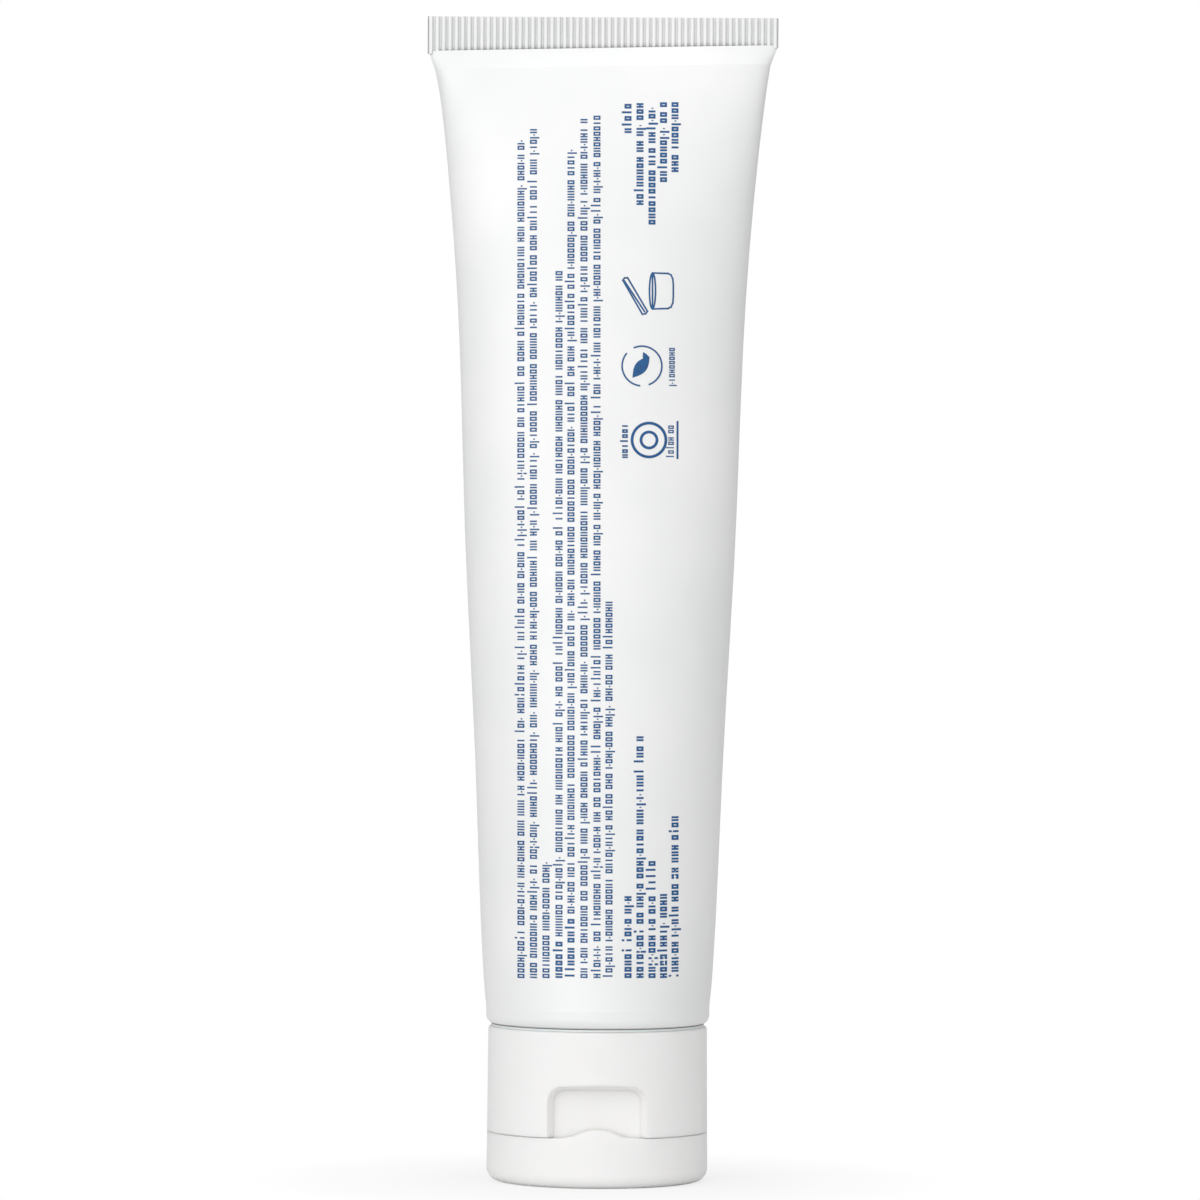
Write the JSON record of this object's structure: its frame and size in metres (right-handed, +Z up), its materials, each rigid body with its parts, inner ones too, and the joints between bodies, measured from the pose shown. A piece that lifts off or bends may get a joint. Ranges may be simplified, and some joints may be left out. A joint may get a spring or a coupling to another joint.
{
  "type": "toothpaste tube",
  "caption": "Flat-crimped squeeze tube of toothpaste that stands on a wide flip-top cap with a thumb recess and a hinged lid.",
  "frame": {"origin": "centre of the lid's flat outer face, which the tube stands on", "axes": "+Z up the tube from the cap to the crimp, X along the crimp, -Y out of the thumb recess of the cap"},
  "size_m": [0.0596, 0.038, 0.198],
  "materials": {
    "sleeve_laminate": "white satin laminate film",
    "head_polyethylene": "natural white moulded polyethylene",
    "paste": "smooth opaque paste",
    "cap_polypropylene": "white fine-grained moulded polypropylene"
  },
  "bodies": {
    "tube": {"tube_sleeve": "sleeve_laminate", "tube_head": "head_polyethylene", "paste_fill": "paste"},
    "cap": {"cap_body": "cap_polypropylene"},
    "lid": {"flip_lid": "cap_polypropylene"}
  },
  "joints": [
    {"name": "cap_unscrew", "type": "hinge", "parent": "tube", "child": "cap", "pos_m": [0, 0, 0.0165], "axis": [0, 0, -1], "range_deg": [0, 450]},
    {"name": "lid_hinge", "type": "hinge", "parent": "cap", "child": "lid", "pos_m": [0, 0.01775, 0.00845], "axis": [1, 0, 0], "range_deg": [0, 170]}
  ]
}
